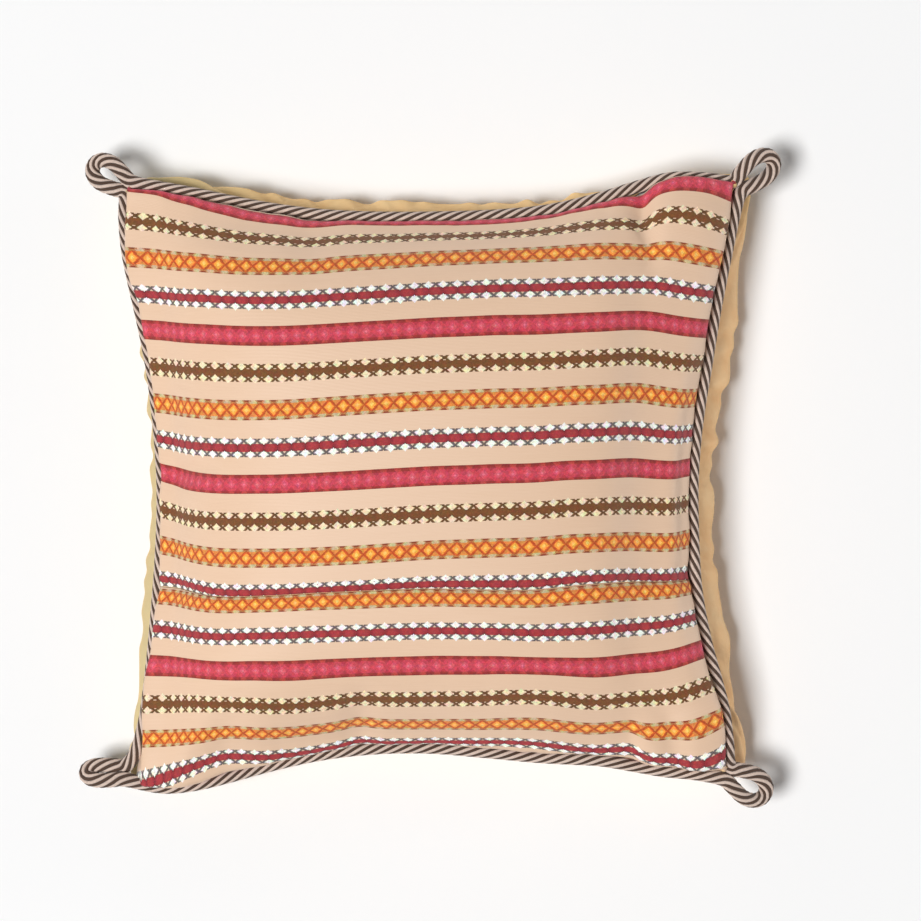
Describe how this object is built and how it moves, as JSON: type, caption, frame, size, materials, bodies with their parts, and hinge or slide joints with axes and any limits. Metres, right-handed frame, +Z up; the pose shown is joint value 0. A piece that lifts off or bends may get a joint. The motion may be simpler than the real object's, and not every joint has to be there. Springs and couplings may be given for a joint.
{
  "type": "gabbeh cushion",
  "caption": "Square filled cushion with drawn-in sides, a striped woven front in two lengths, a plain back and a twisted two-colour edge cord looped at each corner.",
  "frame": {"origin": "on the surface the cushion lies on, under the middle of its bounding box", "axes": "+X along the stripes to the right as one faces the front, +Y up the front, +Z up out of the front"},
  "size_m": [0.461, 0.4324, 0.1221],
  "materials": {
    "gold_back_cloth": "soft golden tan plain cloth with a light nap",
    "striped_front_cloth": "smooth pale peach weave crossed by rows of small crimson, brown, orange and white motifs",
    "twisted_cord": "twisted yarn, dark brown and pale taupe strands in turn"
  },
  "bodies": {
    "root": {"cushion_body": "gold_back_cloth", "front_panel_upper": "striped_front_cloth", "front_panel_lower": "striped_front_cloth", "edge_cord": "twisted_cord"}
  },
  "joints": []
}
